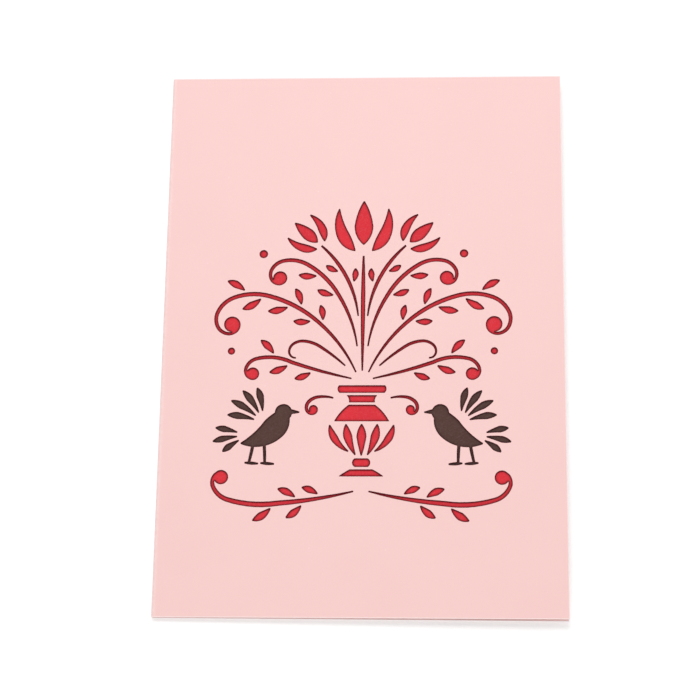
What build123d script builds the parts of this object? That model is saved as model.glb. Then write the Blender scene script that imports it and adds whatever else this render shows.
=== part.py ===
from build123d import *
from math import cos, log, pi, radians, sin
import os

# Card
card_width = 127.0
card_height = 178.0
cover_paper = 0.32
fold_room = 0.14
opening = 1.1

# Papers behind the windows
backing_paper = 0.18
red_margin = 3.0
brown_margin = 0.8
paper_clearance = 0.3

# Folded liner
liner_paper = 0.22
liner_margin = 1.0
liner_fold_shift = 0.5

# Pop-up sheets: where each starts on the fold, the pitch of its drawing grid, and its tabs
pop_up_paper = 0.2
crease_angle = 45.0
apex_setback = 0.3
flowers_apex = 8.0
flowers_half_width = 24.0
flowers_base = 4.5
birds_from_foot = 44.0
birds_half_width = 28.0
birds_base = 9.0
figure_pitch = 1.0
tab_depth = 7.0
tab_setback = 1.0

# Motif strokes, drawn on a grid of this pitch
motif_pitch = 1.0
stroke_steps = 240
turn_per_arc = 60.0
hair_tip = 0.35
leaf_tip = 0.3

slope = radians(opening)
fold_radius = cover_paper + liner_paper + pop_up_paper + (backing_paper + fold_room) / 2
fold_x = fold_radius - card_width / 2
leaf_length = card_width - fold_radius
backing_height = fold_radius - cover_paper
liner_height = backing_height - backing_paper
leaves_apart = liner_height + liner_fold_shift * sin(slope) + backing_height * cos(slope)
liner_radius = leaves_apart / (1 + cos(slope))
liner_fold = (fold_x + liner_fold_shift, cover_paper + liner_radius)
liner_length = leaf_length - liner_fold_shift - liner_margin
page_height = cover_paper + liner_paper
ceiling_height = liner_height - liner_paper
birds_apex = birds_from_foot - card_height / 2
pop_up_reach = page_height + card_width * sin(slope)
along = (cos(slope), sin(slope))
outward = (-sin(slope), cos(slope))


def front_point(distance, height, fold=(fold_x, fold_radius)):
    """Side-view point on the opened front leaf, measured along it and square to it from the fold."""
    return (
        fold[0] + distance * along[0] + height * outward[0],
        fold[1] + distance * along[1] + height * outward[1],
    )


def front_plane(height):
    """Plane parallel to the front leaf, its origin over the middle of the card."""
    x, z = front_point(-fold_x, height)
    return Plane(origin=(x, 0, z), x_dir=(along[0], 0, along[1]), z_dir=(outward[0], 0, outward[1]))


def fold_arc(fold, radius):
    """Half turn round the fold, from the back leaf to the front leaf."""
    middle = pi - slope / 2
    ThreePointArc(
        (fold[0], fold[1] - radius),
        (fold[0] + radius * cos(middle), fold[1] - radius * sin(middle)),
        front_point(0, radius, fold),
    )


def folded_sheet(fold, radius, paper, length, height):
    """Sheet bent round its fold: the back leaf lies flat, the front leaf rests slightly open."""
    inner = radius - paper
    with BuildSketch(Plane.XZ) as side_view:
        with BuildLine():
            fold_arc(fold, radius)
            fold_arc(fold, inner)
            Polyline(
                (fold[0], fold[1] - radius),
                (fold[0] + length, fold[1] - radius),
                (fold[0] + length, fold[1] - inner),
                (fold[0], fold[1] - inner),
            )
            Polyline(
                front_point(0, radius, fold),
                front_point(length, radius, fold),
                front_point(length, inner, fold),
                front_point(0, inner, fold),
            )
        make_face()
    extrude(side_view.sketch, amount=height / 2, both=True)


def trace(start, heading, length, bend, curl=0.0, power=6.0):
    """Centreline of a stroke as (x, y, heading); the curl gathers towards its far end."""
    x, y = start
    line = [(x, y, heading)]
    for step in range(stroke_steps):
        middle = (step + 0.5) / stroke_steps
        aim = radians(heading + bend * middle + curl * middle**power)
        x += length / stroke_steps * cos(aim)
        y += length / stroke_steps * sin(aim)
        done = (step + 1) / stroke_steps
        line.append((x, y, heading + bend * done + curl * done**power))
    return line


def beside(spot, distance):
    """Point square off a centreline spot, to its left for a positive distance."""
    x, y, heading = spot
    return (x - distance * sin(radians(heading)), y + distance * cos(radians(heading)))


def ribbon(line, width, spots):
    """Closed outline along a centreline: arcs down each side, short straight ends."""
    left = [beside(line[spot], width(spot / stroke_steps) / 2) for spot in spots]
    right = [beside(line[spot], -width(spot / stroke_steps) / 2) for spot in reversed(spots)]
    with BuildLine() as outline:
        for side in (left, right):
            for first in range(0, len(side) - 2, 2):
                ThreePointArc(*side[first : first + 3])
        Line(left[-1], right[0])
        Line(right[-1], left[0])
    make_face(outline.edges())


def scroll(start, heading, length, bend, curl=0.0, power=6.0, ball=0.0, full=1.2, tip=hair_tip,
           end=0.8, peak=0.5):
    """Tapered stroke that starts as a hair line, swells and may curl round a ball."""
    line = trace(start, heading, length, bend, curl, power)

    def width(t):
        if t < peak:
            return tip + (full - tip) * sin(pi / 2 * t / peak)
        return end + (full - end) * cos(pi / 2 * (t - peak) / (1 - peak))

    arcs = 2 + round(abs(bend + curl) / turn_per_arc)
    turned = [abs(spot[2] - heading) + 2 * turn_per_arc * step / stroke_steps
              for step, spot in enumerate(line)]
    shares = [turned[-1] * part / (2 * arcs) for part in range(2 * arcs + 1)]
    spots = [min(range(stroke_steps + 1), key=lambda step: abs(turned[step] - share)) for share in shares]
    ribbon(line, width, spots)
    if ball:
        side = 1 if bend + curl > 0 else -1
        with Locations(beside(line[-1], side * (ball - end / 2))):
            Circle(ball)


def frond(start, heading, length, width, bend=0.0, peak=0.5, tip=leaf_tip):
    """Leaf, petal or feather: pointed at both ends, widest where the peak says."""
    line = trace(start, heading - bend / 2, length, bend)
    skew = log(0.5) / log(peak)
    spots = [round(stroke_steps * place) for place in (0, peak / 2, peak, (1 + peak) / 2, 1)]
    ribbon(line, lambda t: tip + (width - tip) * sin(pi * t**skew), spots)


def spray(stem, leaves, lean=38.0, gap=1.5, size=7.0, breadth=2.5):
    """Leaves beside a stem, each given as (place along it, side, scale)."""
    line = trace(**stem)
    for place, side, scale in leaves:
        spot = line[round(place * stroke_steps)]
        frond(
            beside(spot, side * gap), spot[2] + side * lean, size * scale, breadth * scale**0.5,
            bend=-25.0 * side, peak=0.55,
        )


def tulip(spot, scale, petals):
    """Flower of separate petals at the end of a stem; petals lists which of the three."""
    x, y, heading = spot
    for side in petals:
        ahead = (2.6 - 2.0 * abs(side)) * scale
        aside = 2.6 * side * scale
        turn = radians(heading)
        root = (x + ahead * cos(turn) - aside * sin(turn), y + ahead * sin(turn) + aside * cos(turn))
        if side:
            frond(root, heading + 20 * side, 15 * scale, 3.8 * scale, bend=-58.0 * side, peak=0.4)
        else:
            frond(root, heading, 14 * scale, 5.6 * scale, peak=0.42)


def band(low, high, low_width, high_width, waist):
    """One tier of the urn, with its two sides curved."""
    middle = (low + high) / 2
    edge = (low_width + 2 * waist + high_width) / 8
    with BuildLine() as outline:
        ThreePointArc((low_width / 2, low), (edge, middle), (high_width / 2, high))
        Line((high_width / 2, high), (-high_width / 2, high))
        ThreePointArc((-high_width / 2, high), (-edge, middle), (-low_width / 2, low))
        Line((-low_width / 2, low), (low_width / 2, low))
    make_face(outline.edges())


def bird(x, y, scale):
    """Body, head and beak of a bird that faces the middle of the card."""
    frond((x - 7.6 * scale, y + 7.0 * scale), -40, 20 * scale, 7.8 * scale, bend=74, peak=0.4)
    with Locations((x - 7.0 * scale, y + 5.4 * scale)):
        Circle(2.75 * scale)
    frond((x - 6.0 * scale, y + 5.9 * scale), 184, 6.2 * scale, 2.1 * scale, peak=0.25)


def legs(x, y, length):
    """Two thin legs with their feet, down from a bird's belly."""
    for hip, heading in ((-1.4, -98), (1.4, -84)):
        leg = dict(start=(x + hip, y), heading=heading, length=length, bend=8)
        scroll(**leg, full=0.9, tip=0.8, end=0.7)
        ankle = trace(**leg)[-1]
        frond((ankle[0] + 1.3, ankle[1]), 184, 4.2, 0.9, tip=0.4)


def feathers(root, spread, width, bend, fan):
    """Fan of feathers round a root; fan lists the heading and length of each."""
    for heading, length in fan:
        turn = radians(heading)
        start = (root[0] + spread * cos(turn), root[1] + spread * sin(turn))
        frond(start, heading, length, width, bend=bend, peak=0.62)


# Strokes of the motif's right half
low_scroll = dict(start=(3.4, -13.6), heading=12, length=43, bend=18, curl=-315)
tendril = dict(start=(5.4, -9.4), heading=42, length=25.5, bend=-14, curl=-215, power=4)
wide_scroll = dict(start=(2.0, -11.5), heading=66, length=74, bend=-88, curl=-305)
high_scroll = dict(start=(1.7, -3.0), heading=82, length=56, bend=-72, curl=-305)
side_stem = dict(start=(1.5, 7.0), heading=84, length=27, bend=-42)
ground_scroll = dict(start=(2.4, -49.8), heading=-14, length=55, bend=22, curl=290, power=8)
handle = dict(start=(9.0, -19.9), heading=14, length=16.5, bend=-60, curl=-290, power=3)

with BuildSketch() as red_windows:
    scroll(**wide_scroll, ball=2.5, full=1.35)
    scroll(**high_scroll, ball=2.2, full=1.25)
    scroll(**low_scroll, ball=2.0, full=1.15)
    scroll(**tendril, full=0.9, end=0.4)
    scroll(**side_stem, full=1.1, end=0.5, peak=0.6)
    scroll(**ground_scroll, ball=2.2, full=1.6)
    scroll(**handle, ball=1.3, full=1.0, end=0.7, tip=0.4)
    tulip(trace(**side_stem)[-1], 0.7, (0, 1, -1))
    spray(wide_scroll, ((0.27, 1, 0.7), (0.385, 1, 0.8), (0.63, 1, 0.9),
                        (0.31, -1, 0.75), (0.43, -1, 0.9), (0.56, -1, 0.95)))
    spray(high_scroll, ((0.34, -1, 0.75), (0.5, -1, 0.8)))
    spray(low_scroll, ((0.6, 1, 0.85), (0.3, -1, 0.75), (0.48, -1, 0.85)))
    spray(side_stem, ((0.42, 1, 0.62), (0.62, -1, 0.6)), lean=30.0)
    spray(ground_scroll, ((0.2, 1, 0.75), (0.33, 1, 0.85), (0.3, -1, 0.85), (0.47, -1, 0.95)), lean=32.0)
    for x, y, radius in ((32.0, 27.8, 1.3), (41.4, -4.6, 1.1)):
        with Locations((x, y)):
            Circle(radius)
    frond((1.9, -38.2), 73, 10.3, 2.7, bend=26, peak=0.6)
    frond((4.1, -37.1), 55, 10.6, 2.3, bend=52, peak=0.58)
    mirror(about=Plane.YZ)
    frond((0, -38.4), 90, 10.0, 3.0, peak=0.6)
    scroll((0, -11), 90, 38, 0, full=1.3, end=0.5, peak=0.6)
    tulip((0, 28.2, 90), 1.05, (0, 1, -1))
    band(-45.0, -42.9, 13.6, 7.0, 11.0)
    band(-42.0, -39.4, 4.0, 4.0, 7.0)
    band(-27.4, -22.2, 17.0, 8.2, 14.6)
    band(-21.3, -19.1, 8.0, 9.4, 7.4)
    band(-18.2, -15.9, 14.0, 14.4, 16.2)
    scale(by=motif_pitch)

with BuildSketch() as bird_windows:
    bird(31.2, -29.8, 0.96)
    legs(32.0, -32.1, 8.8)
    feathers((30.2, -27.5), 3.5, 2.2, -20, ((10, 8.5), (32, 9.2), (54, 8.8), (76, 7.7)))
    feathers((35.6, -31.7), 3.3, 2.0, -12, ((-36, 6.1), (-12, 7.7), (12, 6.9)))
    scale(by=motif_pitch)

with BuildPart() as outer_card:
    folded_sheet((fold_x, fold_radius), fold_radius, cover_paper, leaf_length, card_height)
    with BuildSketch(front_plane(fold_radius)):
        add(red_windows.sketch)
        add(bird_windows.sketch)
        mirror(bird_windows.sketch, about=Plane.YZ)
    extrude(amount=1.5 * cover_paper, both=True, mode=Mode.SUBTRACT)

# Each backing paper covers the windows of its own colour with a margin all round
red_area = red_windows.sketch.bounding_box()
bird_area = bird_windows.sketch.bounding_box()
red_size = (red_area.size.X + 2 * red_margin, red_area.size.Y + 2 * red_margin)
brown_size = (bird_area.size.X + 2 * brown_margin, bird_area.size.Y + 2 * brown_margin)
bird_centre = bird_area.center()
notch_width = brown_size[0] + 2 * paper_clearance
notch_height = brown_size[1] + 2 * paper_clearance

with BuildPart() as red_backing:
    with BuildSketch(front_plane(backing_height)):
        with Locations((0, red_area.center().Y)):
            Rectangle(*red_size)
        for x in (bird_centre.X, bird_centre.X + red_margin):
            with Locations((x, bird_centre.Y), (-x, bird_centre.Y)):
                Rectangle(notch_width, notch_height, mode=Mode.SUBTRACT)
    extrude(amount=-backing_paper)

with BuildPart() as brown_backing_right:
    with BuildSketch(front_plane(backing_height)):
        with Locations((bird_centre.X, bird_centre.Y)):
            Rectangle(*brown_size)
    extrude(amount=-backing_paper)

with BuildPart() as brown_backing_left:
    with BuildSketch(front_plane(backing_height)):
        with Locations((-bird_centre.X, bird_centre.Y)):
            Rectangle(*brown_size)
    extrude(amount=-backing_paper)

with BuildPart() as inner_card:
    folded_sheet(liner_fold, liner_radius, liner_paper, liner_length, card_height - 2 * liner_margin)


def crease_plane(apex):
    """Plane of a pop-up figure on the page: its middle line runs up the crease from the fold."""
    turn = radians(crease_angle)
    return Plane(origin=(liner_fold[0] + apex_setback, apex, 0), x_dir=(sin(turn), -cos(turn), 0))


def fill_gap(inset, mode):
    """Block that fills the closed card's gap between the liner's two leaves, less an inset."""
    with BuildSketch(Plane.XZ) as side_view:
        with BuildLine():
            Polyline(
                (fold_x, page_height + inset),
                (fold_x + leaf_length, page_height + inset),
                front_point(leaf_length, ceiling_height - inset),
                front_point(0, ceiling_height - inset),
                close=True,
            )
        make_face()
    extrude(side_view.sketch, amount=card_height / 2, both=True, mode=mode)


def tab(half_width):
    """Glue tab under a pop-up figure, cut back so that it clears the fold."""
    inner = tab_depth + tab_setback
    with BuildLine() as outline:
        Polyline(
            (tab_setback, 0),
            (half_width, 0),
            (half_width - 1.5, -tab_depth),
            (inner, -tab_depth),
            close=True,
        )
    make_face(outline.edges())


def keep_half():
    """Keep the figure's half on one side of the crease."""
    with Locations((card_height / 2, 0)):
        Rectangle(card_height, 2 * card_height, mode=Mode.INTERSECT)


def page_to_page(plane):
    """Block over the gap on the figure's side of the crease, one paper thickness in."""
    fill_gap(pop_up_paper, Mode.ADD)
    with BuildSketch(plane) as inside:
        with Locations((card_height / 2 + pop_up_paper, 0)):
            Rectangle(card_height, 2 * card_height)
    extrude(inside.sketch, amount=card_height, mode=Mode.INTERSECT)


with BuildPart() as flowers_hollow:
    page_to_page(crease_plane(flowers_apex))

with BuildPart() as birds_hollow:
    page_to_page(crease_plane(birds_apex))

with BuildPart() as pop_up_flowers:
    with BuildSketch(crease_plane(flowers_apex)) as flowers:
        band(4.4, 24, 8, 18, 40)
        band(23.9, 28, 24, 24, 27)
        scroll((0, 27), 90, 44, 0, full=5.0, tip=3.6, end=3.0)
        frond((0.5, 27), 24, 44, 8.0, bend=-84, peak=0.6, tip=1.6)
        frond((0, 67), 90, 22, 9.5, peak=0.42)
        frond((0.4, 67), 64, 22, 6.0, bend=55, peak=0.42)
        frond((4, 34), 72, 16, 5.0, bend=-40, peak=0.5)
        scale(by=figure_pitch)
        band(0, flowers_base, 2 * flowers_half_width, 1.7 * flowers_half_width, 2 * flowers_half_width)
        tab(flowers_half_width)
        keep_half()
    extrude(amount=pop_up_reach)
    fill_gap(0, Mode.INTERSECT)
    add(flowers_hollow.part, mode=Mode.SUBTRACT)

with BuildPart() as pop_up_birds:
    with BuildSketch(crease_plane(birds_apex)) as birds:
        bird(16.5, 14.8, 1.25)
        frond((20.5, 10.4), 24, 14, 4.6, bend=-16, peak=0.62)
        scale(by=figure_pitch)
        band(0, birds_base, 2 * birds_half_width, 1.5 * birds_half_width, 2 * birds_half_width)
        tab(birds_half_width)
        keep_half()
    extrude(amount=pop_up_reach)
    fill_gap(0, Mode.INTERSECT)
    add(birds_hollow.part, mode=Mode.SUBTRACT)

os.makedirs("parts", exist_ok=True)

outer_card.part.label = "outer_card"
export_step(outer_card.part, "parts/outer_card.step")

red_backing.part.label = "red_backing"
export_step(red_backing.part, "parts/red_backing.step")

brown_backing_left.part.label = "brown_backing_left"
export_step(brown_backing_left.part, "parts/brown_backing_left.step")

brown_backing_right.part.label = "brown_backing_right"
export_step(brown_backing_right.part, "parts/brown_backing_right.step")

inner_card.part.label = "inner_card"
export_step(inner_card.part, "parts/inner_card.step")

pop_up_flowers.part.label = "pop_up_flowers"
export_step(pop_up_flowers.part, "parts/pop_up_flowers.step")

pop_up_birds.part.label = "pop_up_birds"
export_step(pop_up_birds.part, "parts/pop_up_birds.step")
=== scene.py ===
from math import radians

import bmesh
import bpy
from bpy.props import FloatProperty, FloatVectorProperty, PointerProperty
from mathutils import Matrix, Vector


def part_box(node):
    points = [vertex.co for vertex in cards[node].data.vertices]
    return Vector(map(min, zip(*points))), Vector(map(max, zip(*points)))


bl_info = {
    "name": "Pop Up Card",
    "version": (1, 0, 0),
    "blender": (4, 5, 0),
    "location": "3D View > Sidebar > Pop Up Card",
    "description": "Paper finishes and studio for a closed pop-up card with cut-out windows",
    "category": "Object",
}

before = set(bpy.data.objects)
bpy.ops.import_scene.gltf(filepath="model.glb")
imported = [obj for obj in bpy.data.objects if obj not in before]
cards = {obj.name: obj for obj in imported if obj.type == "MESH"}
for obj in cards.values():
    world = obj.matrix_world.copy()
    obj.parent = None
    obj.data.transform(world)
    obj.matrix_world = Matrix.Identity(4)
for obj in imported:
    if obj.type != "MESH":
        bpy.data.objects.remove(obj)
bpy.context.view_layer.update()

# Corners of the part with the windows, all of which lie within the red paper's box, and of the cover
WINDOWS_LOW, WINDOWS_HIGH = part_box("red_backing")
COVER_LOW, COVER_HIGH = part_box("outer_card")

# Patches of the finer patterns per metre
RAGGED_SCALE = 900.0
SOOT_SCALE = 1500.0
CUT_SCALE = 620.0

# Angle in degrees and shift in metres of each layer of fibres
FIBRE_LAYERS = ((24, 0.0), (81, 0.31), (137, 0.77), (163, 1.3))

# Width of a fibre beside a patch of the tooth
FIBRE_TO_TOOTH = 0.45

# Levels at which a mask begins and is full
FIBRE_LEVELS = (0.60, 0.74)
CLOUD_START, CARD_CLOUDS_FULL, PAPER_CLOUDS_FULL = 0.35, 0.70, 0.68
# Occlusion levels at which the painted shade and smoke stain beside the window walls begin and are full
STAIN_AND_SHADE_LEVELS = (1.0, 0.70)
EDGE_LEVELS = (0.9995, 0.96)
WALL_LEVELS = (0.6, 0.3)
FLECK_LEVELS = (0.055, 0.025)
FLECK_DRAW = (0.35, 0.65)
HALO_LEVELS = (0.0, 0.6)
SCORCH_LEVELS = (0.25, 1.0)

# Levels of the noise that breaks a mask up, and the shares that they leave of it
# The pale band on the fold is rubbed wear and painted light
RUBBED_AND_LIT_LEVELS, RUBBED_AND_LIT_SHARES = (0.30, 0.70), (0.30, 0.75)
SOOT_LEVELS, SOOT_SHARES = (0.25, 0.65), (0.72, 1.0)

# Share that each pattern has in the colour
DARK_FIBRES = 0.10
PALE_FIBRES = 0.55
# Share of the pale colour in the pearly flecks, a painted glint
FLECK_GLINTS = 0.7
TINTED_EDGES = 0.7

# How much deeper than paler the dye gets, and what scorching leaves of a colour
DEEPER = 1.4
SCORCHED = 0.45

# Roughness, and how far the tooth and the soot raise it
CARD_ROUGHNESS, CARD_TOOTH_ROUGHNESS, SOOT_ROUGHNESS = 0.36, 0.16, 0.30
PAPER_ROUGHNESS, PAPER_TOOTH_ROUGHNESS = 0.68, 0.20

# Height of the relief in metres, its strength, and the height of fibres and flecks beside the tooth
CARD_RELIEF, CARD_RELIEF_STRENGTH = 0.00003, 0.5
PAPER_RELIEF, PAPER_RELIEF_STRENGTH = 0.00004, 0.6
CARD_FIBRE_HEIGHT, PAPER_FIBRE_HEIGHT, FLECK_HEIGHT = 0.5, 0.25, 0.8

# Glow that whitens the floor for the camera, close to the card and far away, and where each begins
NEAR_GLOW, FAR_GLOW = 0.27, 0.50
NEAR_REACH, FAR_REACH = 0.25, 1.4

WHITE = (1.0, 1.0, 1.0, 1.0)


class CoverSettings(bpy.types.PropertyGroup):
    """Finish of the pink cover card."""

    colour: FloatVectorProperty(
        name="Card", description="Colour of the pearly card", subtype="COLOR",
        size=3, min=0, max=1, default=(0.958, 0.634, 0.610))
    shade: FloatVectorProperty(
        name="Mottle", description="Deeper tint in the card's faint mottling", subtype="COLOR",
        size=3, min=0, max=1, default=(0.951, 0.621, 0.597))
    # Pale core colour that also paints highlights: the line along the trimmed edges, the glints of the
    # flecks and light on the fold
    core: FloatVectorProperty(
        name="Core", description="Paler core that shows along the trimmed edges and the worn fold",
        subtype="COLOR", size=3, min=0, max=1, default=(1.000, 0.790, 0.775))
    scorch: FloatVectorProperty(
        name="Scorch", description="Brown that the cutting beam leaves on the window walls",
        subtype="COLOR", size=3, min=0, max=1, default=(0.105, 0.003, 0.005))
    halo: FloatVectorProperty(
        name="Halo", description="Red-brown tint where the scorch fades out on the card",
        subtype="COLOR", size=3, min=0, max=1, default=(0.560, 0.085, 0.095))
    scorch_reach: FloatProperty(
        name="Scorch Reach", description="How far the scorch spreads from a window over the card",
        unit="LENGTH", min=0, max=0.001, default=0.0003)
    # Width of the painted highlight along the trimmed outer edges
    trim_reach: FloatProperty(
        name="Trim Reach", description="Width of the pale line along the trimmed outer edges",
        unit="LENGTH", min=0, max=0.003, default=0.00035)
    mottle_size: FloatProperty(
        name="Mottle Size", description="Size of the faint clouds in the card",
        unit="LENGTH", min=0.001, max=0.1, default=0.0217391)
    fleck_spacing: FloatProperty(
        name="Fleck Spacing", description="Distance between the pearly flecks in the card",
        unit="LENGTH", min=0.0005, max=0.02, default=0.0048)
    # Width of the pale band on the fold, rubbed wear and painted light
    fold_wear: FloatProperty(
        name="Fold Wear", description="Width of the rubbed band on the fold",
        unit="LENGTH", min=0, max=0.01, default=0.0011)


class PaperSettings(bpy.types.PropertyGroup):
    """Finish of the papers behind the windows and inside the card."""

    red: FloatVectorProperty(
        name="Red", description="Red paper behind the ornament and of the flower pop-up", subtype="COLOR",
        size=3, min=0, max=1, default=(0.780, 0.031, 0.047))
    brown: FloatVectorProperty(
        name="Brown", description="Brown paper behind the birds and of the bird pop-up", subtype="COLOR",
        size=3, min=0, max=1, default=(0.089, 0.040, 0.032))
    liner: FloatVectorProperty(
        name="Liner", description="Pale paper of the folded liner", subtype="COLOR",
        size=3, min=0, max=1, default=(0.930, 0.790, 0.750))
    # The stain colours paint shade as well as smoke: they darken the papers close to the window walls, where
    # shade falls
    stain: FloatVectorProperty(
        name="Stain And Shade", description="Smoke stain on the red paper close to the window walls",
        subtype="COLOR", size=3, min=0, max=1, default=(0.130, 0.003, 0.008))
    brown_stain: FloatVectorProperty(
        name="Brown Stain", description="Smoke stain on the brown paper close to the window walls",
        subtype="COLOR", size=3, min=0, max=1, default=(0.030, 0.012, 0.010))
    # Reach of the painted shade and smoke stain from a window wall
    stain_reach: FloatProperty(
        name="Stain Reach", description="How far the stain spreads from a window wall",
        unit="LENGTH", min=0.0001, max=0.005, default=0.0009)
    edge_reach: FloatProperty(
        name="Edge Reach", description="Width of the tinted line along a paper's cut edges",
        unit="LENGTH", min=0, max=0.001, default=0.00015)
    cloud_size: FloatProperty(
        name="Cloud Size", description="Size of the clouds in the dye",
        unit="LENGTH", min=0.001, max=0.1, default=0.0142857)
    fibre_length: FloatProperty(
        name="Fibre Length", description="Length of the fibres in the papers",
        unit="LENGTH", min=0.0002, max=0.01, default=0.0018)
    fibre_width: FloatProperty(
        name="Fibre Width", description="Width of the fibres in the papers",
        unit="LENGTH", min=0.00002, max=0.001, default=0.00016)


class StudioSettings(bpy.types.PropertyGroup):
    """Floor, light and camera."""

    floor_colour: FloatVectorProperty(
        name="Floor", description="Colour of the floor", subtype="COLOR",
        size=3, min=0, max=1, default=(0.88, 0.88, 0.88))
    floor_reach: FloatProperty(
        name="Floor Reach", description="Distance from the card to the floor's edges",
        unit="LENGTH", min=0.5, max=20, default=3.0)
    sky_level: FloatProperty(
        name="Sky Level", description="Level of the even light from all round", min=0, max=2, default=0.60)
    key_power: FloatProperty(
        name="Key Power", description="Power of the soft lamp beyond the card's head",
        unit="POWER", min=0, max=50, default=6.2)
    key_place: FloatVectorProperty(
        name="Key Lamp", description="Where the lamp beyond the card's head hangs", subtype="TRANSLATION",
        size=3, default=(-0.05, 0.62, 1.15))
    key_size: FloatProperty(
        name="Key Size", description="Diameter of the lamp beyond the card's head",
        unit="LENGTH", min=0.01, max=5, default=0.6)
    fill_power: FloatProperty(
        name="Fill Power", description="Power of the low lamp that lights the cut edges at the card's foot",
        unit="POWER", min=0, max=50, default=2.0)
    fill_place: FloatVectorProperty(
        name="Fill Lamp", description="Where the low lamp at the card's foot hangs", subtype="TRANSLATION",
        size=3, default=(0.0, -0.95, 0.32))
    fill_size: FloatProperty(
        name="Fill Size", description="Diameter of the low lamp at the card's foot",
        unit="LENGTH", min=0.01, max=5, default=0.4)
    camera_place: FloatVectorProperty(
        name="Camera", description="Where the camera stands", subtype="TRANSLATION",
        size=3, default=(0.016812, -0.186532, 0.610197))
    camera_aim: FloatVectorProperty(
        name="Aim", description="Point that the camera looks at", subtype="TRANSLATION",
        size=3, default=(-0.003998, -0.004014, 0.002))
    camera_roll: FloatProperty(
        name="Roll", description="Turn of the camera about its own axis",
        unit="ROTATION", min=-0.5, max=0.5, default=0.0141)
    camera_lens: FloatProperty(
        name="Lens", description="Focal length in millimetres on a 36 mm sensor", min=20, max=300,
        default=103.640)


class Wiring:
    """Adds linked nodes to one shader tree."""

    def __init__(self, tree):
        self.tree = tree

    def node(self, kind, inputs=None, **settings):
        made = self.tree.nodes.new(kind)
        for name, value in settings.items():
            setattr(made, name, value)
        for name, value in (inputs or {}).items():
            self.feed(made.inputs[name], value)
        return made

    def feed(self, socket, value):
        if isinstance(value, bpy.types.NodeSocket):
            self.tree.links.new(value, socket)
        else:
            socket.default_value = value

    def maths(self, operation, *values, clamp=False):
        made = self.node("ShaderNodeMath", operation=operation, use_clamp=clamp)
        for socket, value in zip(made.inputs, values):
            self.feed(socket, value)
        return made.outputs[0]

    def vectors(self, operation, *values):
        made = self.node("ShaderNodeVectorMath", operation=operation)
        for socket, value in zip(made.inputs, values):
            self.feed(socket, value)
        return made.outputs["Value" if operation in ("DOT_PRODUCT", "LENGTH") else "Vector"]

    def remap(self, value, low, high, to_low=0.0, to_high=1.0):
        """Smooth step from one range to another; the ranges may run downwards."""
        ramp = self.node("ShaderNodeMapRange", {
            "Value": value, "From Min": low, "From Max": high, "To Min": to_low, "To Max": to_high,
        }, interpolation_type="SMOOTHSTEP")
        return ramp.outputs["Result"]

    def noise(self, place, scale=1.0, detail=2.0, distortion=0.0):
        made = self.node("ShaderNodeTexNoise", {
            "Vector": place, "Scale": scale, "Detail": detail, "Distortion": distortion,
        })
        return made.outputs["Fac"]

    def group(self, tree, **inputs):
        """Places a node group with these values and returns its outputs."""
        return self.node("ShaderNodeGroup", inputs, node_tree=tree).outputs

    def coats(self, base, coats):
        """Colour of a base under coats, each a share and a tint, with the last one on top."""
        under = colour(base)
        for share, tint in coats:
            made = self.node("ShaderNodeMix", data_type="RGBA")
            # Sockets 6 and 7 and output 2 carry colours; those before them carry numbers and vectors
            self.feed(made.inputs[0], share)
            self.feed(made.inputs[6], under)
            self.feed(made.inputs[7], colour(tint))
            under = made.outputs[2]
        return under


def colour(value):
    """Red, green and blue with full alpha."""
    return (*value, 1.0)


def group_tree(name, inputs, outputs):
    """Empty shader node group with named sockets, its wiring, and its input and output sockets."""
    tree = bpy.data.node_groups.new(name, "ShaderNodeTree")
    for socket, kind, default in inputs:
        made = tree.interface.new_socket(name=socket, in_out="INPUT", socket_type="NodeSocket" + kind)
        if default is not None:
            made.default_value = default
    for socket, kind in outputs:
        tree.interface.new_socket(name=socket, in_out="OUTPUT", socket_type="NodeSocket" + kind)
    wiring = Wiring(tree)
    return tree, wiring, wiring.node("NodeGroupInput").outputs, wiring.node("NodeGroupOutput").inputs


def built_once(build):
    """Makes a function find the node group that bears its name, and build it only where there is none."""
    def find():
        return bpy.data.node_groups.get(build.__name__) or build()
    return find


@built_once
def paper_fibres():
    """Group: pressed fibres lying at several angles, and the soft tooth of the sheet between them."""
    tree, wiring, given, result = group_tree(
        "paper_fibres",
        (("Place", "Vector", None), ("Length", "Float", 0.0018), ("Width", "Float", 0.00016)),
        (("Fibres", "Float"), ("Tooth", "Float")),
    )
    fibre = wiring.node("ShaderNodeCombineXYZ", {
        "X": given["Length"], "Y": given["Width"], "Z": given["Width"],
    })
    fibres = 0.0
    for angle, shift in FIBRE_LAYERS:
        turned = wiring.node("ShaderNodeVectorRotate", {
            "Vector": wiring.vectors("ADD", given["Place"], (shift, shift, 0.0)),
            "Angle": radians(angle),
        }, rotation_type="Z_AXIS").outputs[0]
        strands = wiring.noise(
            wiring.vectors("DIVIDE", turned, fibre.outputs[0]), detail=1.0, distortion=0.5)
        fibres = wiring.maths("MAXIMUM", fibres, wiring.remap(strands, *FIBRE_LEVELS))
    tooth_size = wiring.maths("DIVIDE", given["Width"], FIBRE_TO_TOOTH)
    tooth = wiring.noise(wiring.vectors("DIVIDE", given["Place"], tooth_size), detail=4.0)
    wiring.feed(result["Fibres"], fibres)
    wiring.feed(result["Tooth"], tooth)
    return tree


@built_once
def soft_clouds():
    """Group: mask of broad soft clouds, full where the noise passes a level."""
    tree, wiring, given, result = group_tree(
        "soft_clouds",
        (("Place", "Vector", None), ("Size", "Float", 0.02), ("Full", "Float", CARD_CLOUDS_FULL)),
        (("Clouds", "Float"),),
    )
    noise = wiring.noise(wiring.vectors("DIVIDE", given["Place"], given["Size"]), detail=3.0)
    wiring.feed(result["Clouds"], wiring.remap(noise, CLOUD_START, given["Full"]))
    return tree


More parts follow.
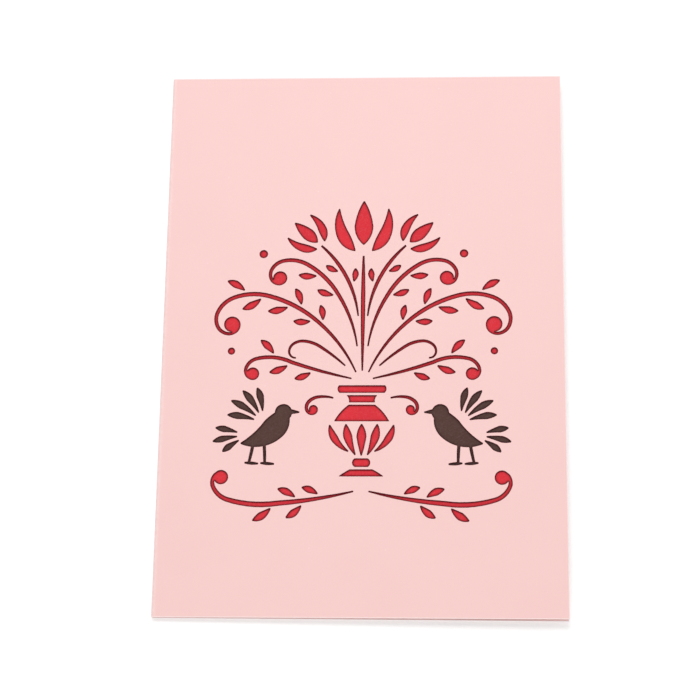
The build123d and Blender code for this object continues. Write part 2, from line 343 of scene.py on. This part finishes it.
@built_once
def smoke_and_painted_shade():
    """Group: painted shade with some smoke stain, a mask from occlusion of the sheet close to whatever
    stands on it.
    """
    tree, wiring, given, result = group_tree(
        "smoke_and_painted_shade",
        (("Reach", "Float", 0.001),),
        (("Stain And Shade", "Float"),),
    )
    near = wiring.node("ShaderNodeAmbientOcclusion", {"Distance": given["Reach"]}, samples=12)
    wiring.feed(result["Stain And Shade"], wiring.remap(near.outputs["AO"], *STAIN_AND_SHADE_LEVELS))
    return tree


@built_once
def cut_edges():
    """Group: mask of the sheet close to a cut edge, uneven along it, and of the wall that a cut leaves."""
    tree, wiring, given, result = group_tree(
        "cut_edges",
        (("Place", "Vector", None), ("Reach", "Float", 0.0002), ("Unevenness", "Float", 0.5)),
        (("Edges", "Float"), ("Walls", "Float")),
    )
    sway = wiring.maths("SUBTRACT", wiring.noise(given["Place"], CUT_SCALE, detail=3.0), 0.5)
    share = wiring.maths("MULTIPLY_ADD", sway, given["Unevenness"], 0.8)
    rounded = wiring.node(
        "ShaderNodeBevel", {"Radius": wiring.maths("MULTIPLY", given["Reach"], share)}, samples=8)
    face = wiring.node("ShaderNodeNewGeometry").outputs["True Normal"]
    turn = wiring.vectors("DOT_PRODUCT", rounded.outputs[0], face)
    wiring.feed(result["Edges"], wiring.remap(turn, *EDGE_LEVELS))
    lean = wiring.vectors("DOT_PRODUCT", face, (0.0, 0.0, 1.0))
    wiring.feed(result["Walls"], wiring.remap(wiring.maths("ABSOLUTE", lean), *WALL_LEVELS))
    return tree


def new_material(name):
    """Material with one Principled shader; returns it, its wiring, the shader and the place on the card."""
    material = bpy.data.materials.new(name)
    material.use_nodes = True
    material.node_tree.nodes.clear()
    wiring = Wiring(material.node_tree)
    shader = wiring.node("ShaderNodeBsdfPrincipled")
    wiring.node("ShaderNodeOutputMaterial", {"Surface": shader.outputs[0]})
    place = wiring.node("ShaderNodeTexCoord").outputs["Object"]
    return material, wiring, shader, place


def fibres_at(wiring, place, papers):
    """Fibres and tooth of the sheet, at the size set for the papers."""
    return wiring.group(
        paper_fibres(), Place=place, Length=papers.fibre_length, Width=papers.fibre_width)


def clouds_at(wiring, place, size, full):
    """Mask of clouds of one size."""
    return wiring.group(soft_clouds(), Place=place, Size=size, Full=full)["Clouds"]


def rims_at(wiring, place, reach):
    """Mask of the cut edges and their walls."""
    edges = wiring.group(cut_edges(), Place=place, Reach=reach)
    return wiring.maths("MAXIMUM", edges["Edges"], edges["Walls"])


def relief(wiring, shader, height, strength, distance):
    """Feeds a height to the shader's normal through a bump."""
    bump = wiring.node("ShaderNodeBump", {"Height": height, "Strength": strength, "Distance": distance})
    wiring.feed(shader.inputs["Normal"], bump.outputs[0])


def between(wiring, value, low, high, softness=0.0005):
    """Mask that is 1 where a value lies between two limits."""
    rise = wiring.remap(value, low - softness, low)
    fall = wiring.remap(value, high, high + softness, 1.0, 0.0)
    return wiring.maths("MULTIPLY", rise, fall)


def pearly_flecks(wiring, place, spacing):
    """Mask of small round flecks, in a part of the cells only."""
    cells = wiring.node("ShaderNodeTexVoronoi", {"Vector": place, "Scale": 1.0 / spacing})
    fleck = wiring.remap(cells.outputs["Distance"], *FLECK_LEVELS)
    draw = wiring.node("ShaderNodeSeparateColor", {0: cells.outputs["Color"]}).outputs[0]
    return wiring.maths("MULTIPLY", fleck, wiring.remap(draw, *FLECK_DRAW))


def rubbed_fold(wiring, x, ragged, width):
    """Mask of the pale band beside the fold: rubbed wear, and painted light that lifts the shade on the
    fold's rounding.
    """
    from_fold = wiring.maths("SUBTRACT", x, COVER_LOW.x)
    band = wiring.remap(from_fold, width * 1.5, width * 0.3)
    return wiring.maths("MULTIPLY", band, wiring.remap(ragged, *RUBBED_AND_LIT_LEVELS, *RUBBED_AND_LIT_SHARES))


def trimmed_edges(wiring, x, y, ragged, width):
    """Mask of the painted highlight along the head, foot and fore-edge, uneven in width."""
    to_head_or_foot = wiring.maths("SUBTRACT", COVER_HIGH.y, wiring.maths("ABSOLUTE", y))
    to_fore_edge = wiring.maths("SUBTRACT", COVER_HIGH.x, x)
    to_edge = wiring.maths("MINIMUM", to_head_or_foot, to_fore_edge)
    line = wiring.maths("MULTIPLY_ADD", ragged, width, width * 0.5)
    return wiring.remap(to_edge, line, wiring.maths("MULTIPLY", line, 0.5))


def scorched_rims(wiring, place, x, y, reach):
    """Masks of the halo and of the darker scorch round the windows."""
    in_windows = wiring.maths(
        "MULTIPLY",
        between(wiring, x, WINDOWS_LOW.x, WINDOWS_HIGH.x),
        between(wiring, y, WINDOWS_LOW.y, WINDOWS_HIGH.y),
    )
    rim = wiring.maths("MULTIPLY", rims_at(wiring, place, reach), in_windows)
    soot = wiring.remap(wiring.noise(place, SOOT_SCALE, detail=3.0), *SOOT_LEVELS, *SOOT_SHARES)
    scorch = wiring.maths("MULTIPLY", wiring.remap(rim, *SCORCH_LEVELS), soot)
    return wiring.remap(rim, *HALO_LEVELS), scorch


def pearly_card(settings, papers):
    """Pink pearly card: mottling, fibres, flecks with painted glints, a rubbed fold with painted light, a
    painted highlight on the trimmed edges, scorched windows.
    """
    material, wiring, shader, place = new_material("pearly_pink_card")
    x, y = wiring.node("ShaderNodeSeparateXYZ", {0: place}).outputs[:2]
    fibres = fibres_at(wiring, place, papers)
    mottle = clouds_at(wiring, place, settings.mottle_size, CARD_CLOUDS_FULL)
    flecks = pearly_flecks(wiring, place, settings.fleck_spacing)
    ragged = wiring.noise(place, RAGGED_SCALE, detail=4.0)
    halo, scorch = scorched_rims(wiring, place, x, y, settings.scorch_reach)
    wiring.feed(shader.inputs["Base Color"], wiring.coats(settings.colour, (
        (mottle, settings.shade),
        (wiring.maths("MULTIPLY", fibres["Fibres"], DARK_FIBRES), settings.shade),
        # Pearly flecks, paler than the card: real flecks, their brightness a painted glint
        (wiring.maths("MULTIPLY", flecks, FLECK_GLINTS), settings.core),
        # Pale band on the fold: rubbed wear and painted light
        (rubbed_fold(wiring, x, ragged, settings.fold_wear), settings.core),
        # Painted highlight along the trimmed edges
        (trimmed_edges(wiring, x, y, ragged, settings.trim_reach), settings.core),
        (halo, settings.halo),
        (scorch, settings.scorch),
    )))
    dull = wiring.maths("MULTIPLY_ADD", fibres["Tooth"], CARD_TOOTH_ROUGHNESS, CARD_ROUGHNESS)
    dull = wiring.maths("MULTIPLY_ADD", scorch, SOOT_ROUGHNESS, dull, clamp=True)
    wiring.feed(shader.inputs["Roughness"], dull)
    shader.inputs["Specular IOR Level"].default_value = 0.35
    shader.inputs["Sheen Weight"].default_value = 0.08
    shader.inputs["Sheen Roughness"].default_value = 0.4
    height = wiring.maths("MULTIPLY_ADD", fibres["Fibres"], CARD_FIBRE_HEIGHT, fibres["Tooth"])
    height = wiring.maths("MULTIPLY_ADD", flecks, FLECK_HEIGHT, height)
    relief(wiring, shader, height, CARD_RELIEF_STRENGTH, CARD_RELIEF)
    return material


def dyed_paper(name, tint, papers, depth, scorched=False, stain=None):
    """Dyed paper: cloudy dye, paler fibres, soft tooth and tinted cut edges.

    The depth sets how far the clouds and fibres depart from the tint. A scorched sheet has browned
    edges, and a stain paints shade, with some smoke, on the sheet close to whatever stands on it.
    """
    material, wiring, shader, place = new_material(name)
    fibres = fibres_at(wiring, place, papers)
    pale = [channel + (1.0 - channel) * depth for channel in tint]
    deep = [channel * (1.0 - DEEPER * depth) for channel in tint]
    browned = [channel * SCORCHED for channel in tint]
    clouds = clouds_at(wiring, place, papers.cloud_size, PAPER_CLOUDS_FULL)
    rim = rims_at(wiring, place, papers.edge_reach)
    coats = [
        (clouds, deep),
        (wiring.maths("MULTIPLY", fibres["Fibres"], PALE_FIBRES), pale),
        (wiring.maths("MULTIPLY", rim, TINTED_EDGES), browned if scorched else pale),
    ]
    if stain is not None:
        # Painted shade with smoke stain: the sheet darkens where the window walls stand close
        coats.append((wiring.group(smoke_and_painted_shade(), Reach=papers.stain_reach)["Stain And Shade"], stain))
    wiring.feed(shader.inputs["Base Color"], wiring.coats(tint, coats))
    dull = wiring.maths("MULTIPLY_ADD", fibres["Tooth"], PAPER_TOOTH_ROUGHNESS, PAPER_ROUGHNESS)
    wiring.feed(shader.inputs["Roughness"], dull)
    shader.inputs["Specular IOR Level"].default_value = 0.2
    shader.inputs["Sheen Weight"].default_value = 0.05
    height = wiring.maths("MULTIPLY_ADD", fibres["Fibres"], PAPER_FIBRE_HEIGHT, fibres["Tooth"])
    relief(wiring, shader, height, PAPER_RELIEF_STRENGTH, PAPER_RELIEF)
    return material


def dress(node, material):
    """Gives a CAD node its finish."""
    slots = cards[node].material_slots
    if not slots:
        raise RuntimeError(f"{node} has no material slot to dress")
    for slot in slots:
        slot.material = material


class DressCover(bpy.types.Operator):
    """Pearly pink card with scorched windows on the folded cover"""

    bl_idname = "pop_up_card.dress_cover"
    bl_label = "Dress Cover"

    def execute(self, context):
        scene = context.scene
        dress("outer_card", pearly_card(scene.card_cover, scene.card_papers))
        return {"FINISHED"}


class DressBackings(bpy.types.Operator):
    """Red and brown papers behind the windows"""

    bl_idname = "pop_up_card.dress_backings"
    bl_label = "Dress Backing Papers"

    def execute(self, context):
        papers = context.scene.card_papers
        # The backing papers get painted shade and smoke stain close to the window walls
        dress("red_backing", dyed_paper("red_backing_paper", papers.red, papers, 0.06, stain=papers.stain))
        brown = dyed_paper("brown_backing_paper", papers.brown, papers, 0.05, stain=papers.brown_stain)
        dress("brown_backing_left", brown)
        dress("brown_backing_right", brown)
        return {"FINISHED"}


class DressLiner(bpy.types.Operator):
    """Pale paper on the folded liner"""

    bl_idname = "pop_up_card.dress_liner"
    bl_label = "Dress Liner"

    def execute(self, context):
        papers = context.scene.card_papers
        dress("inner_card", dyed_paper("pale_liner_paper", papers.liner, papers, 0.05))
        return {"FINISHED"}


class DressPopUps(bpy.types.Operator):
    """Red and brown papers, browned at their cut edges, on the folded pop-up sheets"""

    bl_idname = "pop_up_card.dress_pop_ups"
    bl_label = "Dress Pop-Ups"

    def execute(self, context):
        papers = context.scene.card_papers
        dress("pop_up_flowers", dyed_paper("red_pop_up_paper", papers.red, papers, 0.06, scorched=True))
        dress("pop_up_birds", dyed_paper("brown_pop_up_paper", papers.brown, papers, 0.05, scorched=True))
        return {"FINISHED"}


def seen_directly(wiring):
    """Mask that is 1 for rays from the camera, off gloss or through glass, and 0 for light on the card."""
    rays = wiring.node("ShaderNodeLightPath").outputs
    seen = wiring.maths("MAXIMUM", rays["Is Camera Ray"], rays["Is Glossy Ray"])
    return wiring.maths("MAXIMUM", seen, rays["Is Transmission Ray"])


def studio_floor(scene, settings):
    """Wide pale floor that keeps the card's shadow and looks white to the camera."""
    sheet = bmesh.new()
    bmesh.ops.create_grid(sheet, x_segments=1, y_segments=1, size=settings.floor_reach)
    mesh = bpy.data.meshes.new("studio_floor")
    sheet.to_mesh(mesh)
    sheet.free()
    floor = bpy.data.objects.new("studio_floor", mesh)
    floor.location.z = -0.00002
    scene.collection.objects.link(floor)
    material, wiring, shader, place = new_material("floor_paper")
    shader.inputs["Base Color"].default_value = colour(settings.floor_colour)
    shader.inputs["Roughness"].default_value = 0.9
    shader.inputs["Specular IOR Level"].default_value = 0.0
    shader.inputs["Emission Color"].default_value = WHITE
    away = wiring.vectors("LENGTH", place)
    glow = wiring.remap(away, NEAR_REACH, FAR_REACH, NEAR_GLOW, FAR_GLOW)
    wiring.feed(shader.inputs["Emission Strength"], wiring.maths("MULTIPLY", seen_directly(wiring), glow))
    mesh.materials.append(material)


def studio_sky(scene, settings):
    """Even light from all round, white where the camera sees it."""
    world = bpy.data.worlds.new("studio_sky")
    world.use_nodes = True
    world.node_tree.nodes.clear()
    wiring = Wiring(world.node_tree)
    level = wiring.maths("MULTIPLY_ADD", seen_directly(wiring), 1.0 - settings.sky_level, settings.sky_level)
    sky = wiring.node("ShaderNodeBackground", {"Color": WHITE, "Strength": level})
    wiring.node("ShaderNodeOutputWorld", {"Surface": sky.outputs[0]})
    scene.world = world


def aimed(place, aim, roll=0.0):
    """Matrix of a lamp or camera that stands at a place and looks at a point."""
    forward = (Vector(aim) - Vector(place)).normalized()
    right = forward.cross(Vector((0.0, 1.0, 0.0))).normalized()
    up = right.cross(forward)
    turned = Matrix((right, up, -forward)).transposed() @ Matrix.Rotation(roll, 3, "Z")
    return Matrix.Translation(place) @ turned.to_4x4()


def studio_lamp(scene, name, place, size, power):
    """Round soft lamp aimed at the card."""
    lamp = bpy.data.lights.new(name, "AREA")
    lamp.shape = "DISK"
    lamp.size = size
    lamp.energy = power
    holder = bpy.data.objects.new(name, lamp)
    holder.matrix_world = aimed(place, (0.0, 0.0, 0.0))
    scene.collection.objects.link(holder)


def studio_camera(scene, settings):
    """Camera that looks down on the card from beyond its foot."""
    camera = bpy.data.cameras.new("studio_camera")
    camera.sensor_width = 36.0
    camera.lens = settings.camera_lens
    camera.clip_start = 0.01
    camera.clip_end = 20.0
    holder = bpy.data.objects.new("studio_camera", camera)
    holder.matrix_world = aimed(settings.camera_place, settings.camera_aim, settings.camera_roll)
    scene.collection.objects.link(holder)
    scene.camera = holder


class SetStage(bpy.types.Operator):
    """Pale floor, soft light and the camera"""

    bl_idname = "pop_up_card.set_stage"
    bl_label = "Set Stage"

    def execute(self, context):
        scene = context.scene
        scene.view_settings.view_transform = "Standard"
        settings = scene.card_studio
        studio_floor(scene, settings)
        studio_sky(scene, settings)
        studio_lamp(scene, "key_lamp", settings.key_place, settings.key_size, settings.key_power)
        studio_lamp(scene, "fill_lamp", settings.fill_place, settings.fill_size, settings.fill_power)
        studio_camera(scene, settings)
        return {"FINISHED"}


OPERATORS = (SetStage, DressCover, DressBackings, DressLiner, DressPopUps)


class CardPanel(bpy.types.Panel):
    """Sizes, colours and steps of the pop-up card"""

    bl_idname = "VIEW3D_PT_pop_up_card"
    bl_label = "Pop Up Card"
    bl_space_type = "VIEW_3D"
    bl_region_type = "UI"
    bl_category = "Pop Up Card"

    def draw(self, context):
        scene = context.scene
        groups = (("Cover", scene.card_cover), ("Papers", scene.card_papers), ("Studio", scene.card_studio))
        for title, settings in groups:
            box = self.layout.box()
            box.label(text=title)
            for name in settings.__annotations__:
                box.prop(settings, name)
        for operator in OPERATORS:
            self.layout.operator(operator.bl_idname)


CLASSES = (CoverSettings, PaperSettings, StudioSettings, *OPERATORS, CardPanel)


def register():
    """Adds the settings, the operators and the panel to Blender."""
    for made in CLASSES:
        bpy.utils.register_class(made)
    bpy.types.Scene.card_cover = PointerProperty(type=CoverSettings)
    bpy.types.Scene.card_papers = PointerProperty(type=PaperSettings)
    bpy.types.Scene.card_studio = PointerProperty(type=StudioSettings)


def unregister():
    """Takes away what register added."""
    del bpy.types.Scene.card_studio
    del bpy.types.Scene.card_papers
    del bpy.types.Scene.card_cover
    for made in reversed(CLASSES):
        bpy.utils.unregister_class(made)


def main():
    """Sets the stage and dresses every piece."""
    register()
    bpy.ops.pop_up_card.set_stage()
    bpy.ops.pop_up_card.dress_cover()
    bpy.ops.pop_up_card.dress_backings()
    bpy.ops.pop_up_card.dress_liner()
    bpy.ops.pop_up_card.dress_pop_ups()


if __name__ == "__main__":
    main()
